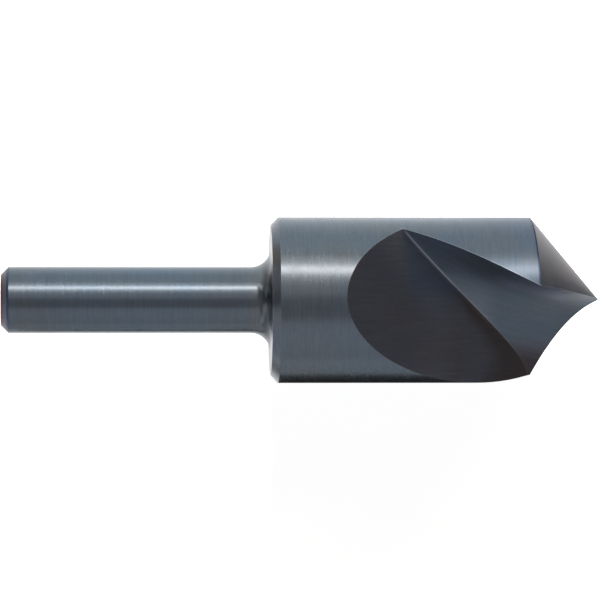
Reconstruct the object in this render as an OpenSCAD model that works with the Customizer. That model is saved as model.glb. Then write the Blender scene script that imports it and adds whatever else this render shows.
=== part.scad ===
// Single-flute countersink with a straight shank, ground from one bar of tool steel.
// Millimetres. +X runs along the tool's axis towards the point, +Z is up.
// The origin is the centre of the flat end of the shank.
// The tool lies on the round of its body with the flute upwards, as it comes to rest.

/* [Shank] */
// diameter of the shank
shank_d = 6.35; // [5:0.05:7]
// width of the 45 degree chamfer at the shank's end
shank_chamfer = 0.75; // [0.3:0.05:1.2]
// radius of the fillet between the shank and the body
neck_r = 1.9; // [1:0.1:2.4]

/* [Body] */
// diameter of the body
body_d = 15.875; // [14.5:0.125:17]
// distance from the shank's end to the body's back face
body_x = 25.75; // [20:0.25:30]
// width of the 45 degree chamfer at the body's back edge
body_chamfer = 0.75; // [0.3:0.05:1]

/* [Point] */
// included angle of the cutting cone
point_angle = 100; // [90:1:110]
// distance from the shank's end to the apex of the cone, which the flute then cuts away
apex_x = 57.5; // [56:0.05:59]
// how far the cone's axis lies off the tool's axis, which gives the cutting edge its relief
relief = 0.45; // [0.1:0.01:0.6]
// direction of that offset, turned about the tool's axis from the flute's middle
relief_turn = 43; // [0:1:80]

/* [Flute] */
// place where the flute's flat floor crosses the tool's axis
floor_x = 45.2; // [43:0.05:48]
// angle between the flat floor and the tool's axis
floor_angle = 32.5; // [28:0.1:36]
// sideways lean of the flat floor
floor_lean = 2; // [0:0.1:5]
// radius of the hollow rake face at its waist, where it is narrowest
rake_r = 7.45; // [7:0.05:7.8]
// radius of the curve by which the rake face widens towards both ends
flare_r = 32.6; // [28:0.1:40]
// tilt of the rake face's axis away from the cross-section of the tool
rake_tilt = 70.3; // [68:0.1:73]
// sideways lean of the rake face's axis
rake_lean = 13.8; // [12:0.1:16]
// place of the waist along the tool
rake_x = 50.8; // [50:0.01:51.6]
// distance of the waist's centre to the side of the tool's axis
rake_side = 6.02; // [5.6:0.01:6.4]
// distance of the waist's centre above the tool's axis
rake_up = 4.81; // [4.4:0.01:5.2]

/* [Rest] */
// roll about the tool's axis that brings the heavy side underneath
rest_roll = -26.5; // [-60:0.5:60]

/* [Hidden] */
$fn = 96;
steel_blue = [0.25, 0.29, 0.33];
shank_r = shank_d / 2;
body_r = body_d / 2;
neck_out_r = shank_r + neck_r;
half_point = point_angle / 2;
// the cutters reach this far past the tool
reach = 2 * body_d;
// from here back the cone's cutter leaves the bar alone
cone_back_x = apex_x - 1.5 * body_d;
cone_back_r = (apex_x - cone_back_x) * tan(half_point);

// half of the turned bar's outline, with the radius along x and the length along y
module bar_outline() {
  polygon([
    [0, 0],
    [shank_r - shank_chamfer, 0],
    [shank_r, shank_chamfer],
    [shank_r, body_x],
    [body_r - body_chamfer, body_x],
    [body_r, body_x + body_chamfer],
    [body_r, apex_x],
    [0, apex_x]
  ]);
}

// corner between the shank and the body, hollowed by the fillet
module neck_outline() {
  difference() {
    translate([0, body_x - neck_r]) {
      square([neck_out_r, neck_r]);
    }
    translate([neck_out_r, body_x - neck_r]) {
      circle(neck_r);
    }
  }
}

module turned_bar() {
  rotate([0, 90, 0]) {
    rotate_extrude() {
      bar_outline();
      neck_outline();
    }
  }
}

// everything that the cone's grinding leaves, its axis moved off the tool's
module cone_limit() {
  rotate([relief_turn, 0, 0]) {
    translate([0, 0, relief]) {
      rotate([0, 90, 0]) {
        rotate_extrude() {
          polygon([
            [0, -reach],
            [cone_back_r, -reach],
            [cone_back_r, cone_back_x],
            [0, apex_x]
          ]);
        }
      }
    }
  }
}

// everything on the open side of the flute's flat floor
module floor_cut() {
  translate([floor_x, 0, 0]) {
    rotate([-floor_lean, floor_angle, 0]) {
      translate([-reach, -reach, 0]) {
        cube([2 * reach, 2 * reach, reach]);
      }
    }
  }
}

// everything inside the waisted hollow that ends in the rake face
module rake_cut() {
  translate([rake_x, -rake_side, rake_up]) {
    rotate([-rake_lean, -rake_tilt, 0]) {
      rotate_extrude() {
        difference() {
          translate([0, -flare_r]) {
            square([rake_r + flare_r, 2 * flare_r]);
          }
          translate([rake_r + flare_r, 0]) {
            circle(flare_r);
          }
        }
      }
    }
  }
}

module countersink() {
  color(steel_blue) {
    rotate([rest_roll, 0, 0]) {
      difference() {
        intersection() {
          turned_bar();
          cone_limit();
        }
        intersection() {
          floor_cut();
          rake_cut();
        }
      }
    }
  }
}

countersink();
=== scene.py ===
import math

import bpy
from mathutils import Matrix, Vector


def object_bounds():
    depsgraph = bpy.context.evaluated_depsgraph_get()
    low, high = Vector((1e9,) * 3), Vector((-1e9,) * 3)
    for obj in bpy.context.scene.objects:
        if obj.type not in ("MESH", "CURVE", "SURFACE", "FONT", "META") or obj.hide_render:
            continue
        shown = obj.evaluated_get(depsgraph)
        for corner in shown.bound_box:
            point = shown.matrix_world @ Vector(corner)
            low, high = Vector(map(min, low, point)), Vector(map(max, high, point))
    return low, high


# Single-flute countersink with a straight shank, lying on a white sheet.
# Blender works in metres; the sizes in the dictionaries are millimetres unless a note says so.

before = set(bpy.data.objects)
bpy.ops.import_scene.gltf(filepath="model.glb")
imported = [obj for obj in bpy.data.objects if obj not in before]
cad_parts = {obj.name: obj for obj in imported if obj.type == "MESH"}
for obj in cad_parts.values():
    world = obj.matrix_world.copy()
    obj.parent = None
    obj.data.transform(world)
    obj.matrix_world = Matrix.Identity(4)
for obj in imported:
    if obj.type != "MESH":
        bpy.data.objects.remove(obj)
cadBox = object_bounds()
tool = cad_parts["countersink"]
mm = 0.001
print("solids loaded")

# Small helpers for node trees. A value may be a number, a colour or another node's socket.


def plug(tree, socket, value):
    if isinstance(value, bpy.types.NodeSocket):
        tree.links.new(value, socket)
    elif isinstance(value, tuple) and len(value) == 3 and socket.type == "RGBA":
        socket.default_value = (*value, 1.0)
    else:
        socket.default_value = value


def addNode(tree, kind, inputs, **settings):
    node = tree.nodes.new(kind)
    for name, value in settings.items():
        setattr(node, name, value)
    for key, value in inputs.items():
        plug(tree, node.inputs[key], value)
    return node


def calc(tree, operation, *values):
    node = addNode(tree, "ShaderNodeMath", dict(enumerate(values)), operation=operation)
    return node.outputs[0]


def ramp(tree, value, low, high, start=0.0, end=1.0):
    inputs = {0: value, 1: low, 2: high, 3: start, 4: end}
    node = addNode(tree, "ShaderNodeMapRange", inputs, interpolation_type="SMOOTHSTEP")
    return node.outputs[0]


def fade(tree, value, low, high):   # 1 up to the low value, 0 from the high one on
    return ramp(tree, value, low, high, 1.0, 0.0)


def near(tree, value, middle, full, none):  # 1 up to one distance from the middle, 0 from the other on
    distance = calc(tree, "ABSOLUTE", calc(tree, "SUBTRACT", value, middle))
    return fade(tree, distance, full, none)


def together(tree, factor, *others):
    for other in others:
        factor = calc(tree, "MULTIPLY", factor, other)
    return factor


def outside(tree, factor):
    return calc(tree, "SUBTRACT", 1.0, factor)


def mixColour(tree, factor, first, second, blend="MIX"):
    inputs = {0: factor, 6: first, 7: second}
    return addNode(tree, "ShaderNodeMix", inputs, data_type="RGBA", blend_type=blend).outputs[2]


def mixValue(tree, factor, first, second):
    return addNode(tree, "ShaderNodeMix", {0: factor, 2: first, 3: second}).outputs[0]


def split(tree, point):
    return addNode(tree, "ShaderNodeSeparateXYZ", {0: point}).outputs


def join(tree, x, y, z):
    return addNode(tree, "ShaderNodeCombineXYZ", {0: x, 1: y, 2: z}).outputs[0]


def newTree(owner):
    owner.use_nodes = True
    owner.node_tree.nodes.clear()
    return owner.node_tree


# The camera looks down on the flute. The tool's length runs across the picture, and +Y is up in it.
cameraLook = {
    "turn": 2.4,        # degrees that the shank's end is swung towards the camera
    "height": 63.5,     # degrees above the floor, on the +Y side
    "distance": 478.5,
    "width": 57.42,     # what the picture takes in at the tool's axis
    "aim": 28.6,        # the middle of the picture, along the tool
    "sensor": 36.0,
    "clipStart": 10.0,
}


def addCamera(look):
    height = math.radians(look["height"])
    turn = math.radians(look["turn"])
    along = Vector((1, 0, 0))
    outward = Vector((0, math.cos(height), math.sin(height)))
    upward = Vector((0, math.sin(height), -math.cos(height)))
    right = along * math.cos(turn) + outward * math.sin(turn)
    back = outward * math.cos(turn) - along * math.sin(turn)
    data = bpy.data.cameras.new("camera")
    data.sensor_width = look["sensor"]
    data.lens = look["sensor"] * look["distance"] / look["width"]
    data.clip_start = look["clipStart"] * mm
    camera = bpy.data.objects.new("camera", data)
    bpy.context.scene.collection.objects.link(camera)
    spot = Vector((look["aim"] * mm, 0, 0)) + back * look["distance"] * mm
    axes = Matrix((right, upward, back)).transposed().to_4x4()
    camera.matrix_world = Matrix.Translation(spot) @ axes
    bpy.context.scene.camera = camera


addCamera(cameraLook)
print("camera placed")

# A sheet of paper on a grey bench. Its greys are partly painted light: it is white beside the tool and
# paler, then grey, farther off, a painted fall-off of light, and darker past the shank's end and past
# the point, painted shade. The camera sees the sheet white, but for the tool's shadow, and the steel
# mirrors its greys.
sheetLook = {
    "size": 3000.0,
    # painted fall-off of light: white beside the tool, pale farther off on the +Y side, grey farther
    # still
    "white": (0.80, 0.80, 0.80),
    "pale": (0.61, 0.61, 0.61),
    "paleAside": (6.0, 20.0),       # where it starts and is full, on the +Y side
    "benchAndPaintedFalloff": (0.42, 0.42, 0.42),
    "benchMiddle": (0.0, 20.0, 0.0), "benchAway": (60.0, 135.0),
    # painted shade on the sheet, which the steel mirrors
    "paintedShadeBehindShank": (0.40, 0.40, 0.40),     # past the shank's end, on the +Y side
    "duskAlong": (-18.0, -3.0), "duskAside": (-8.0, 4.0),
    # painted shade on the sheet, which the steel mirrors
    "grey": (0.27, 0.27, 0.27),     # past the tool's point
    "greyAlong": (58.0, 84.0),
    "glow": 0.96,                   # lifts the sheet to white for the camera
    "sun": 25.5,                    # a low sun lamp that lights the sheet alone
    "sunHeight": 10.0, "sunSpread": 6.0,    # degrees
}


def only(name, thing):  # a collection that holds one object, for a lamp that lights it alone
    group = bpy.data.collections.new(name)
    group.objects.link(thing)
    return group


def metres(sizes):
    return [size * mm for size in sizes]


def addSheet(look):
    bpy.ops.object.select_all(action="DESELECT")
    bpy.ops.mesh.primitive_plane_add(size=look["size"] * mm, location=(0, 0, cadBox[0].z))
    sheet = bpy.context.object
    sheet.name = "sheet"
    paper = bpy.data.materials.new("whitePaper")
    tree = newTree(paper)
    spot = addNode(tree, "ShaderNodeTexCoord", {}).outputs["Object"]
    along, aside = split(tree, spot)[:2]
    # painted fall-off of light, from white beside the tool to grey far off
    colour = mixColour(tree, ramp(tree, aside, *metres(look["paleAside"])), look["white"], look["pale"])
    middle = tuple(metres(look["benchMiddle"]))
    away = addNode(tree, "ShaderNodeVectorMath", {0: spot, 1: middle}, operation="DISTANCE")
    benchAndPaintedFalloff = ramp(tree, away.outputs["Value"], *metres(look["benchAway"]))
    colour = mixColour(tree, benchAndPaintedFalloff, colour, look["benchAndPaintedFalloff"])
    # painted shade on the sheet past the shank's end and past the tool's point
    pastEnd = fade(tree, along, *metres(look["duskAlong"]))
    paintedShadeBehindShank = together(tree, pastEnd, ramp(tree, aside, *metres(look["duskAside"])))
    colour = mixColour(tree, paintedShadeBehindShank, colour, look["paintedShadeBehindShank"])
    pastPoint = ramp(tree, along, *metres(look["greyAlong"]))
    colour = mixColour(tree, pastPoint, colour, look["grey"])
    matt = addNode(tree, "ShaderNodeBsdfDiffuse", {"Color": colour})
    rays = addNode(tree, "ShaderNodeLightPath", {})
    seen = calc(tree, "MAXIMUM", rays.outputs["Is Camera Ray"], rays.outputs["Is Transmission Ray"])
    glow = calc(tree, "MULTIPLY", seen, look["glow"])
    light = addNode(tree, "ShaderNodeEmission", {"Strength": glow})
    lifted = addNode(tree, "ShaderNodeAddShader", {0: matt.outputs[0], 1: light.outputs[0]})
    addNode(tree, "ShaderNodeOutputMaterial", {"Surface": lifted.outputs[0]})
    sheet.data.materials.append(paper)
    return sheet


def addSheetLamp(sheet, look):
    data = bpy.data.lights.new("sheetLamp", "SUN")
    data.energy = look["sun"]
    data.angle = math.radians(look["sunSpread"])
    lamp = bpy.data.objects.new("sheetLamp", data)
    bpy.context.scene.collection.objects.link(lamp)
    lamp.rotation_euler = (math.radians(look["sunHeight"] - 90), 0, 0)
    lamp.light_linking.receiver_collection = only("sheetOnly", sheet)


sheet = addSheet(sheetLook)
addSheetLamp(sheet, sheetLook)
print("sheet laid")

# The room is white to the camera and grey to the steel.
roomLook = {
    "seen": (1.0, 1.0, 1.0),
    "low": (0.14, 0.13, 0.13), "high": (0.37, 0.34, 0.35),      # as the steel mirrors it
    "rise": (0.0, 0.9),             # from the horizon to nearly overhead, which is 1
    "light": (0.03, 0.03, 0.03),
}


def setRoom(look):
    room = bpy.data.worlds.new("room")
    bpy.context.scene.world = room
    tree = newTree(room)
    rays = addNode(tree, "ShaderNodeLightPath", {})
    way = addNode(tree, "ShaderNodeTexCoord", {}).outputs["Generated"]
    height = ramp(tree, split(tree, way)[2], *look["rise"])
    mirrored = mixColour(tree, height, look["low"], look["high"])
    grey = mixColour(tree, rays.outputs["Is Glossy Ray"], look["light"], mirrored)
    colour = mixColour(tree, rays.outputs["Is Camera Ray"], grey, look["seen"])
    air = addNode(tree, "ShaderNodeBackground", {"Color": colour, "Strength": 1.0})
    addNode(tree, "ShaderNodeOutputWorld", {"Surface": air.outputs[0]})


# Glowing panels round the tool. The key, low on the +Y side, makes the long highlight, and the glow,
# the low glow and the wall brighten the steel beside it. The fills reach from overhead down the -Y
# side, and the gap between them and the wall is the dark band. The card and the end key are swung
# round towards the shank's end, for the chamfers and for the highlight's end in the fillet.
boxReach = 500.0        # how far the panels stand off the tool
boxColour = (1.0, 0.96, 0.97)
boxes = {               # "rise" is in degrees: 0 is the floor on the +Y side, and 90 is overhead
    "key": {"rise": (15.5, 25.2), "length": 600.0, "level": 6.9, "colour": (1.0, 0.86, 0.78)},
    "glow": {"rise": (1.0, 38.0), "length": 700.0, "level": 0.45, "colour": (1.0, 0.93, 0.83)},
    "lowGlow": {"rise": (0.0, 10.5), "length": 700.0, "level": 0.56},
    "wall": {"rise": (1.0, 58.0), "length": 700.0, "level": 0.33},
    "fill": {"rise": (92.0, 178.0), "length": 1200.0, "level": 0.30},
    "lowFill": {"rise": (154.0, 182.0), "length": 1200.0, "level": 0.20},
    "card": {"rise": (156.0, 181.0), "turn": -67.0, "length": 344.0, "level": 0.80},
    "endKey": {"rise": (0.5, 10.0), "turn": 46.0, "length": 220.0, "level": 2.6},
}


def addBox(name, look):
    low, high = look["rise"]
    middle = math.radians((low + high) / 2)
    reach = boxReach * mm
    data = bpy.data.lights.new(name, "AREA")
    data.shape = "RECTANGLE"
    data.size = look["length"] * mm
    data.size_y = 2 * reach * math.tan(math.radians((high - low) / 2))
    data.energy = look["level"] * math.pi * data.size * data.size_y    # so the level is what shows
    data.color = look.get("colour", boxColour)
    lamp = bpy.data.objects.new(name, data)
    bpy.context.scene.collection.objects.link(lamp)
    along = Vector((1, 0, 0))
    outward = Vector((0, math.cos(middle), math.sin(middle)))
    axes = Matrix((along, outward.cross(along), outward)).transposed().to_4x4()
    aim = Matrix.Translation(Vector((cameraLook["aim"] * mm, 0, 0)))
    turn = Matrix.Rotation(math.radians(look.get("turn", 0.0)), 4, "Z")
    lamp.matrix_world = aim @ turn @ Matrix.Translation(outward * reach) @ axes
    lamp.visible_camera = False
    return lamp


setRoom(roomLook)
toolOnly = only("toolOnly", tool)
for name, look in boxes.items():
    box = addBox(name + "Box", look)
    if name != "key":       # the key lights the sheet too
        box.light_linking.receiver_collection = toolOnly
bpy.context.scene.view_settings.view_transform = "Standard"
print("studio lit")

# The steel is one material. Its finish changes from face to face, so it first finds out which
# face it is on, from the same sizes and places as the solid.
cut = {
    "restRoll": -26.5,      # degrees that the tool is rolled from its drawing to its rest
    "bodyRadius": 7.9375,
    "endChamfer": 0.75,
    "shoulder": 25.75,
    "bodyChamfer": 26.5,
    "coneFrom": 49.5,       # just behind the corner of body and cone
    "apex": 57.5, "halfPoint": 50.0,
    "relief": 0.45, "reliefTurn": 43.0,     # how far and which way the cone's axis is off the tool's
    "floorPlace": (45.2, 0.0, 0.0), "floorTurn": (-2.0, 32.5, 0.0),
    "rakePlace": (50.8, -6.02, 4.81), "rakeTurn": (-13.8, -70.3, 0.0),
    "rakeWaist": 7.45, "rakeFlare": 32.6,
}
seams = {       # from a face or its corner, where one finish starts to change and has changed
    "rake": (0.020, 0.045), "aboveFloor": (-0.045, -0.020),
    "floor": (0.015, 0.035),
    "cone": (0.0, 0.1), "insideBody": (-0.050, -0.025),
    "endFace": (0.005, 0.030),
    "chamfer": (-0.04, 0.02),
    "shoulder": (0.010, 0.025), "body": (-0.01, 0.01),
}


def placeIn(tree, point, location, turn, scale=1.0):
    inputs = {"Vector": point, "Location": location, "Scale": (scale, scale, scale),
              "Rotation": tuple(math.radians(angle) for angle in turn)}
    return addNode(tree, "ShaderNodeMapping", inputs, vector_type="TEXTURE").outputs[0]


def across(tree, first, second):    # length of the diagonal over two distances
    square = calc(tree, "MULTIPLY", first, first)
    return calc(tree, "SQRT", calc(tree, "MULTIPLY_ADD", second, second, square))


def seamAt(place, seam):
    return [place + side for side in seams[seam]]


def findFaces(tree):
    spot = addNode(tree, "ShaderNodeTexCoord", {}).outputs["Object"]
    drawn = placeIn(tree, spot, (0, 0, 0), (cut["restRoll"], 0, 0), mm)     # millimetres, as drawn
    x, y, z = split(tree, drawn)
    radius = across(tree, y, z)
    floorX, floorY, height = split(tree, placeIn(tree, drawn, cut["floorPlace"], cut["floorTurn"]))
    rakeX, rakeY, rakeZ = split(tree, placeIn(tree, drawn, cut["rakePlace"], cut["rakeTurn"]))
    ring = calc(tree, "SUBTRACT", across(tree, rakeX, rakeY), cut["rakeWaist"] + cut["rakeFlare"])
    rakeAway = calc(tree, "SUBTRACT", cut["rakeFlare"], across(tree, ring, rakeZ))
    reliefTurn = math.radians(cut["reliefTurn"])
    coneY = calc(tree, "ADD", y, cut["relief"] * math.sin(reliefTurn))
    coneZ = calc(tree, "SUBTRACT", z, cut["relief"] * math.cos(reliefTurn))
    shift = calc(tree, "SUBTRACT", across(tree, coneY, coneZ), radius)
    slope = math.tan(math.radians(cut["halfPoint"]))
    coneEdge = cut["apex"] - cut["bodyRadius"] / slope
    corner = calc(tree, "MULTIPLY_ADD", shift, -1 / slope, coneEdge)
    toCorner = calc(tree, "SUBTRACT", corner, x)    # along the tool, to the corner of body and cone

    faces = {"drawn": drawn, "x": x, "y": y, "z": z, "radius": radius, "height": height,
             "floorX": floorX, "floorY": floorY, "rakeX": rakeX, "rakeY": rakeY, "rakeZ": rakeZ,
             "rakeAway": rakeAway, "toCorner": toCorner}
    aboveFloor = ramp(tree, height, *seams["aboveFloor"])
    faces["rake"] = together(tree, near(tree, rakeAway, 0.0, *seams["rake"]), aboveFloor)
    underRake = fade(tree, rakeAway, *seams["rake"])
    faces["floor"] = together(tree, near(tree, height, 0.0, *seams["floor"]), underRake)
    faces["flute"] = calc(tree, "MAXIMUM", faces["rake"], faces["floor"])
    inside = fade(tree, radius, *seamAt(cut["bodyRadius"], "insideBody"))
    faces["cone"] = together(tree, ramp(tree, x, *seamAt(cut["coneFrom"], "cone")), inside)
    faces["endFace"] = fade(tree, x, *seams["endFace"])
    faces["endChamfer"] = fade(tree, x, *seamAt(cut["endChamfer"], "chamfer"))
    faces["shoulder"] = near(tree, x, cut["shoulder"], *seams["shoulder"])
    faces["body"] = ramp(tree, x, *seamAt(cut["shoulder"], "body"))
    chamfer = fade(tree, x, *seamAt(cut["bodyChamfer"], "chamfer"))
    faces["bodyChamfer"] = together(tree, faces["body"], chamfer)
    return faces


# What the tools left: rings round the turned faces, the wheel's strokes along the rake face, scuffs
# on the floor, specks all over, patches in the body's sheen, and slow clouds in its colour.
grain = {       # scale, detail and roughness of each noise
    "rings": (5.0, 2.0, 0.7),
    "strokes": (3.2, 3.0, 0.65),
    "scuffs": (4.0, 3.0, 0.6),
    "specks": (2.6, 2.0, 0.6),
    "patches": (0.9, 3.0, 0.65),
    "clouds": (0.16, 3.0, 0.55),
}
stretch = {     # how much slower or faster each runs in one direction
    "ringsOutward": 2.3, "ringsRound": 0.07,
    "strokesRound": 7.0, "strokesAlong": 0.06,
    "scuffsAlong": 0.05,
    "patchesAcross": 0.5,
}


def noise(tree, vector, scale, detail, roughness):
    inputs = {"Vector": vector, "Scale": scale, "Detail": detail, "Roughness": roughness}
    return addNode(tree, "ShaderNodeTexNoise", inputs).outputs[0]


def swing(tree, value):     # from between 0 and 1 to between -1 and 1
    return calc(tree, "MULTIPLY_ADD", value, 2.0, -1.0)


def findLines(tree, at):
    along = calc(tree, "MULTIPLY_ADD", at["radius"], stretch["ringsOutward"], at["x"])
    slowY = calc(tree, "MULTIPLY", at["y"], stretch["ringsRound"])
    slowZ = calc(tree, "MULTIPLY", at["z"], stretch["ringsRound"])
    rings = noise(tree, join(tree, along, slowY, slowZ), *grain["rings"])
    angle = calc(tree, "ARCTAN2", at["rakeY"], at["rakeX"])
    angle = calc(tree, "MULTIPLY", angle, stretch["strokesRound"])
    slowRake = calc(tree, "MULTIPLY", at["rakeZ"], stretch["strokesAlong"])
    strokes = noise(tree, join(tree, slowRake, angle, 0.0), *grain["strokes"])
    slowFloor = calc(tree, "MULTIPLY", at["floorX"], stretch["scuffsAlong"])
    scuffs = noise(tree, join(tree, slowFloor, at["floorY"], 0.0), *grain["scuffs"])
    inFlute = mixValue(tree, at["floor"], strokes, scuffs)
    return swing(tree, mixValue(tree, at["flute"], rings, inFlute))


def findPatches(tree, at):
    slowY = calc(tree, "MULTIPLY", at["y"], stretch["patchesAcross"])
    slowZ = calc(tree, "MULTIPLY", at["z"], stretch["patchesAcross"])
    return swing(tree, noise(tree, join(tree, at["x"], slowY, slowZ), *grain["patches"]))


# Besides the steel's own colours, some hues below are painted light and shade, as their notes say.
hues = {        # bare and blued steel, with straw and brown where the heat reached
    "shank": (0.112, 0.154, 0.196),
    "shankEnd": (0.116, 0.148, 0.178),      # the blue is weaker at both ends of the shank
    "neck": (0.136, 0.158, 0.174),
    # The fillet: darker than the neck in the corner, painted shade; a dark brown band above its middle,
    # partly a brown tint and partly painted shade; lighter along its middle near the shoulder, painted
    # light; darker on its lower side, painted shade.
    "fillet": (0.094, 0.107, 0.120),
    "filletBrownAndShade": (0.046, 0.046, 0.048), "filletPaintedLight": (0.215, 0.230, 0.252),
    "filletPaintedShade": (0.040, 0.051, 0.066),
    "body": (0.119, 0.156, 0.196),
    "bodyPale": (0.130, 0.164, 0.194),      # the body's back end, where the blue is thinner
    "endChamfer": (0.104, 0.120, 0.152),
    "bodyChamfer": (0.094, 0.110, 0.134),
    "chamferBrown": (0.068, 0.066, 0.070),  # straw-brown on one side of it
    "shoulder": (0.235, 0.248, 0.270),
    "endFace": (0.230, 0.103, 0.060), "endMiddle": (0.170, 0.122, 0.098),
    # the cone is darker towards the cutting edge: painted shade
    "cone": (0.107, 0.106, 0.116), "conePaintedShade": (0.086, 0.093, 0.110),
    "fluteFloor": (0.155, 0.170, 0.198),
    # beside the crease the flute's floor is lighter towards its upper end, painted light, and darker
    # towards its lower end, painted shade
    "creasePaintedLight": (0.215, 0.245, 0.290), "creasePaintedShade": (0.112, 0.106, 0.112),    # beside the crease
    "rake": (0.106, 0.140, 0.175),
    # painted light: the rake face lighter next to the round of the body
    "rakeRimPaintedLight": (0.146, 0.186, 0.232),       # next to the round of the body
    # painted light: the rake face lighter and bluer beside the cutting edge
    "rakeUpperPaintedLight": (0.172, 0.204, 0.285),     # beside the cutting edge
    # painted light: a lighter patch on the rake face beside the middle of the crease
    "rakePaintedLight": (0.138, 0.172, 0.208),    # beside the middle of the crease
    "rakeToe": (0.100, 0.095, 0.108),       # the corner that the cutting edge runs out to
    "rakeTip": (0.097, 0.124, 0.154),       # under the point
    "warm": (1.035, 1.00, 0.965), "cool": (0.97, 1.00, 1.03),      # the clouds, over all of them
}
# Where one hue starts to change into the next, and where it has changed. Where an "At" gives the
# middle of a band, the two are distances from it.
zones = {
    # along the tool, from the shank's end
    "shankEnd": (3.0, 8.0), "shankRoot": (17.0, 23.0), "rootShare": 0.6,
    "neck": (22.6, 24.6),
    "fillet": (24.7, 25.3), "filletPaintedLight": (25.25, 25.50),
    "bodyPale": (31.0, 44.0),
    "floorPaintedLight": (40.5, 44.0), "floorPaintedShade": (43.0, 45.0),
    "rakePaintedLight": (0.8, 3.2), "rakePaintedLightAt": 44.9,
    "rakeUpperPaintedLight": (46.5, 49.0), "rakeTip": (52.6, 55.0),
    # across it, upwards in the picture
    # bands across the fillet of painted shade and painted light
    "brownAndShadeBelow": (2.3, 3.1), "filletLightBelow": (0.6, 1.6), "filletShadeBelow": (-2.0, -0.6),
    "chamferBrown": (0.4, 1.7), "chamferBrownAt": 4.2,
    "rakeToe": (-6.2, -3.0),
    "besideEdge": (0.2, 1.0), "besideEdgeAt": 14.7, "edgeSlope": 0.264,
    # out from the axis, and away from the flute's floor and rake face
    "endFace": (0.8, 2.4), "rakeRimPaintedLight": (3.5, 7.5),
    "conePaintedShade": (0.25, 1.5), "overFloor": (0.6, 4.0),
    "creasePaintedLight": (-4.5, -0.3), "creasePaintedShade": (-1.1, -0.35),
    # and where the noise of the clouds turns from cool to warm
    "clouds": (0.38, 0.62),
}


def colourShank(tree, at):
    x, y = at["x"], at["y"]
    root = ramp(tree, x, *zones["shankRoot"], 0.0, zones["rootShare"])
    ends = calc(tree, "MAXIMUM", fade(tree, x, *zones["shankEnd"]), root)
    shank = mixColour(tree, ends, hues["shank"], hues["shankEnd"])
    shank = mixColour(tree, ramp(tree, x, *zones["neck"]), shank, hues["neck"])
    # across the fillet: painted shade in the corner, a dark brown band that is partly painted shade,
    # painted light along the middle near the shoulder and painted shade on the lower side
    fillet = mixColour(tree, ramp(tree, y, *zones["brownAndShadeBelow"]), hues["filletBrownAndShade"], hues["fillet"])
    middle = mixColour(tree, ramp(tree, x, *zones["filletPaintedLight"]), hues["fillet"], hues["filletPaintedLight"])
    fillet = mixColour(tree, ramp(tree, y, *zones["filletLightBelow"]), middle, fillet)
    fillet = mixColour(tree, ramp(tree, y, *zones["filletShadeBelow"]), hues["filletPaintedShade"], fillet)
    return mixColour(tree, ramp(tree, x, *zones["fillet"]), shank, fillet)


def colourRake(tree, at):
    x, y = at["x"], at["y"]
    # painted light next to the round of the body
    rake = mixColour(tree, ramp(tree, at["radius"], *zones["rakeRimPaintedLight"]), hues["rake"], hues["rakeRimPaintedLight"])
    # painted light beside the cutting edge
    edge = calc(tree, "MULTIPLY_ADD", x, zones["edgeSlope"], y)
    besideEdge = near(tree, edge, zones["besideEdgeAt"], *zones["besideEdge"])
    upper = together(tree, besideEdge, ramp(tree, x, *zones["rakeUpperPaintedLight"]))
    rake = mixColour(tree, upper, rake, hues["rakeUpperPaintedLight"])
    # painted light beside the middle of the crease
    bright = near(tree, x, zones["rakePaintedLightAt"], *zones["rakePaintedLight"])
    bright = together(tree, bright, fade(tree, at["height"], *zones["overFloor"]))
    rake = mixColour(tree, bright, rake, hues["rakePaintedLight"])
    rake = mixColour(tree, fade(tree, y, *zones["rakeToe"]), rake, hues["rakeToe"])
    return mixColour(tree, ramp(tree, x, *zones["rakeTip"]), rake, hues["rakeTip"])


def colourFloor(tree, at):
    x, away = at["x"], at["rakeAway"]
    # painted light beside the crease's upper part and painted shade beside its lower part
    light = together(tree, ramp(tree, away, *zones["creasePaintedLight"]), fade(tree, x, *zones["floorPaintedLight"]))
    floor = mixColour(tree, light, hues["fluteFloor"], hues["creasePaintedLight"])
    shade = together(tree, ramp(tree, away, *zones["creasePaintedShade"]), ramp(tree, x, *zones["floorPaintedShade"]))
    return mixColour(tree, shade, floor, hues["creasePaintedShade"])


def colourFaces(tree, at):
    body = mixColour(tree, fade(tree, at["x"], *zones["bodyPale"]), hues["body"], hues["bodyPale"])
    colour = mixColour(tree, at["body"], colourShank(tree, at), body)
    outward = ramp(tree, at["radius"], *zones["endFace"])
    endFace = mixColour(tree, outward, hues["endMiddle"], hues["endFace"])
    brown = near(tree, at["y"], zones["chamferBrownAt"], *zones["chamferBrown"])
    chamfer = mixColour(tree, brown, hues["bodyChamfer"], hues["chamferBrown"])
    # painted shade: the cone darker towards the cutting edge
    cone = mixColour(tree, ramp(tree, at["rakeAway"], *zones["conePaintedShade"]), hues["conePaintedShade"], hues["cone"])
    paint = {"endChamfer": hues["endChamfer"], "endFace": endFace, "bodyChamfer": chamfer,
             "shoulder": hues["shoulder"], "cone": cone,
             "rake": colourRake(tree, at), "floor": colourFloor(tree, at)}
    for face, hue in paint.items():
        colour = mixColour(tree, at[face], colour, hue)
    return colour


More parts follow.
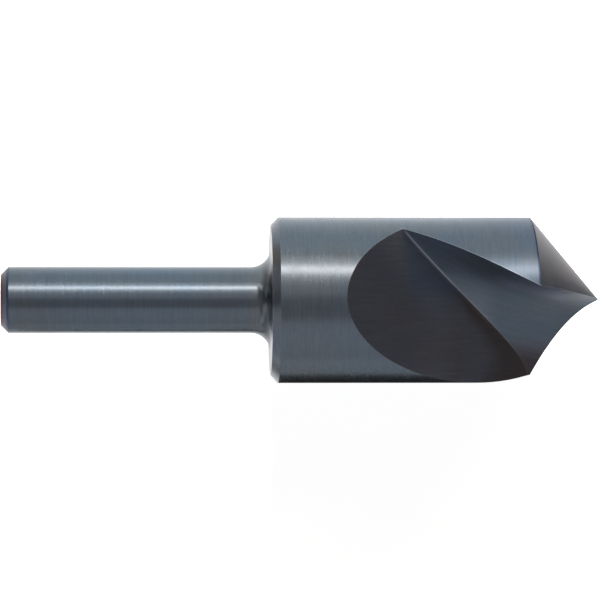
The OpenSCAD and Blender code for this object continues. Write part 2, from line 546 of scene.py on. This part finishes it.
# Bare or heat-tinted metal where two faces meet, and painted highlights along the rim of the rake face
# and along the crease, mostly a few tenths of a millimetre wide.
# A reach is how far to each side a line is whole and where it has faded out, and a share is how
# strong it is at most.
edges = {
    "blue": (0.095, 0.135, 0.190), "blueReach": (0.15, 0.34), "blueShare": 0.6,
    "dark": (0.028, 0.042, 0.082), "darkAt": 0.06, "darkReach": (0.06, 0.11), "darkShare": 0.85,
    "shankBlueReach": (0.12, 0.30), "shankBlueShare": 0.5,
    "shankDarkAt": -0.08, "shankDarkReach": (0.07, 0.15), "shankDarkShare": 0.8,
    "endRim": (0.135, 0.078, 0.060),        # straw-brown, at the corner with the end face
    "endRimReach": (0.05, 0.45),
    # a painted highlight where the rake face meets the round of the body
    "rimHighlight": (0.260, 0.300, 0.340),           # where the rake face meets the round of the body
    "rimReach": (0.04, 0.11), "rimOverFloor": (0.2, 0.6), "rimShare": 0.6,
    # a painted highlight along the crease of the flute's floor and rake face
    "creaseHighlight": (0.410, 0.430, 0.490), "creaseReach": (0.05, 0.24),
    "creaseOut": (7.4, 7.85), "creaseOutShare": 0.3,            # fainter where it comes to the rim
    "creaseWeaker": (40.5, 44.5), "creaseWeakerShare": 0.12,    # and along its lower half
    "creaseEnd": (46.0, 48.2),
}


def colourEdges(tree, at, colour):
    x = at["x"]
    onBody = outside(tree, calc(tree, "MAXIMUM", at["flute"], at["cone"]))
    blue = fade(tree, at["toCorner"], *edges["blueReach"])
    blue = together(tree, blue, onBody, at["body"], edges["blueShare"])
    colour = mixColour(tree, blue, colour, edges["blue"])
    dark = near(tree, at["toCorner"], edges["darkAt"], *edges["darkReach"])
    dark = together(tree, dark, outside(tree, at["flute"]), edges["darkShare"])
    colour = mixColour(tree, dark, colour, edges["dark"])

    shankBlue = near(tree, x, cut["endChamfer"], *edges["shankBlueReach"])
    colour = mixColour(tree, together(tree, shankBlue, edges["shankBlueShare"]), colour, edges["blue"])
    shankDark = near(tree, x, cut["endChamfer"] + edges["shankDarkAt"], *edges["shankDarkReach"])
    colour = mixColour(tree, together(tree, shankDark, edges["shankDarkShare"]), colour, edges["dark"])
    endRim = together(tree, fade(tree, x, *edges["endRimReach"]), outside(tree, at["endFace"]))
    colour = mixColour(tree, endRim, colour, edges["endRim"])

    # painted highlight along the rim of the rake face
    rimHighlight = near(tree, at["rakeAway"], 0.0, *edges["rimReach"])
    overFloor = ramp(tree, at["height"], *edges["rimOverFloor"])
    rimHighlight = together(tree, rimHighlight, onBody, overFloor, edges["rimShare"])
    colour = mixColour(tree, rimHighlight, colour, edges["rimHighlight"])
    # painted highlight along the crease
    creaseHighlight = together(
        tree,
        near(tree, at["height"], 0.0, *edges["creaseReach"]),
        near(tree, at["rakeAway"], 0.0, *edges["creaseReach"]),
        ramp(tree, at["radius"], *edges["creaseOut"], 1.0, edges["creaseOutShare"]),
        ramp(tree, x, *edges["creaseWeaker"], 1.0, edges["creaseWeakerShare"]),
        fade(tree, x, *edges["creaseEnd"]))
    return mixColour(tree, creaseHighlight, colour, edges["creaseHighlight"])


finish = {
    "shankEndRough": 0.256, "shankRootRough": 0.228, "shankChange": (3.0, 22.0),
    "bodyRough": 0.262, "frontRough": 0.33, "bodyChange": (42.0, 49.0),
    "endChamferRough": 0.40, "bodyChamferRough": 0.26, "shoulderRough": 0.24, "coneRough": 0.34,
    "rakeRough": 0.40, "floorRough": 0.24, "endFaceRough": 0.44,
    # how far lines, patches and specks swing the tone and the roughness, and how high they stand
    "lineTone": 0.18, "rakeLineTone": 0.22, "lineRough": 0.048, "lineHeight": 0.0004,
    "patchRough": 0.06, "patchTo": (29.5, 33.5), "patchFaint": 0.25,
    "speckTone": 0.075, "speckRough": 0.008, "speckHeight": 0.0002,
}


def findRoughness(tree, at, look, lines, specks):
    front = ramp(tree, at["x"], *look["bodyChange"], look["bodyRough"], look["frontRough"])
    shank = ramp(tree, at["x"], *look["shankChange"], look["shankEndRough"], look["shankRootRough"])
    rough = mixValue(tree, at["body"], shank, front)
    for face in ("endChamfer", "bodyChamfer", "shoulder", "cone", "rake", "floor", "endFace"):
        rough = mixValue(tree, at[face], rough, look[face + "Rough"])
    rough = calc(tree, "MULTIPLY_ADD", lines, look["lineRough"], rough)
    onBack = ramp(tree, at["x"], *look["patchTo"], 1.0, look["patchFaint"])
    patches = together(tree, findPatches(tree, at), at["body"], onBack)
    rough = calc(tree, "MULTIPLY_ADD", patches, look["patchRough"], rough)
    return calc(tree, "MULTIPLY_ADD", specks, look["speckRough"], rough)


def steelMaterial(look):
    steel = bpy.data.materials.new("bluedSteel")
    tree = newTree(steel)
    at = findFaces(tree)
    lines = findLines(tree, at)
    specks = swing(tree, noise(tree, at["drawn"], *grain["specks"]))

    colour = colourFaces(tree, at)
    clouds = ramp(tree, noise(tree, at["drawn"], *grain["clouds"]), *zones["clouds"])
    tint = mixColour(tree, clouds, hues["cool"], hues["warm"])
    colour = mixColour(tree, 1.0, colour, tint, "MULTIPLY")
    lineTone = mixValue(tree, at["flute"], look["lineTone"], look["rakeLineTone"])
    tone = calc(tree, "MULTIPLY_ADD", lines, lineTone, 1.0)
    tone = calc(tree, "MULTIPLY_ADD", specks, look["speckTone"], tone)
    colour = mixColour(tree, 1.0, colour, join(tree, tone, tone, tone), "MULTIPLY")
    colour = colourEdges(tree, at, colour)

    rough = findRoughness(tree, at, look, lines, specks)
    relief = calc(tree, "MULTIPLY", lines, look["lineHeight"] * mm)
    relief = calc(tree, "MULTIPLY_ADD", specks, look["speckHeight"] * mm, relief)
    bump = addNode(tree, "ShaderNodeBump", {"Strength": 1.0, "Distance": 1.0, "Height": relief})
    shader = addNode(tree, "ShaderNodeBsdfPrincipled", {
        "Base Color": colour, "Metallic": 1.0, "Roughness": rough, "Normal": bump.outputs[0]})
    addNode(tree, "ShaderNodeOutputMaterial", {"Surface": shader.outputs[0]})
    return steel


steel = steelMaterial(finish)
for slot in tool.material_slots:
    slot.material = steel
print("steel finished")
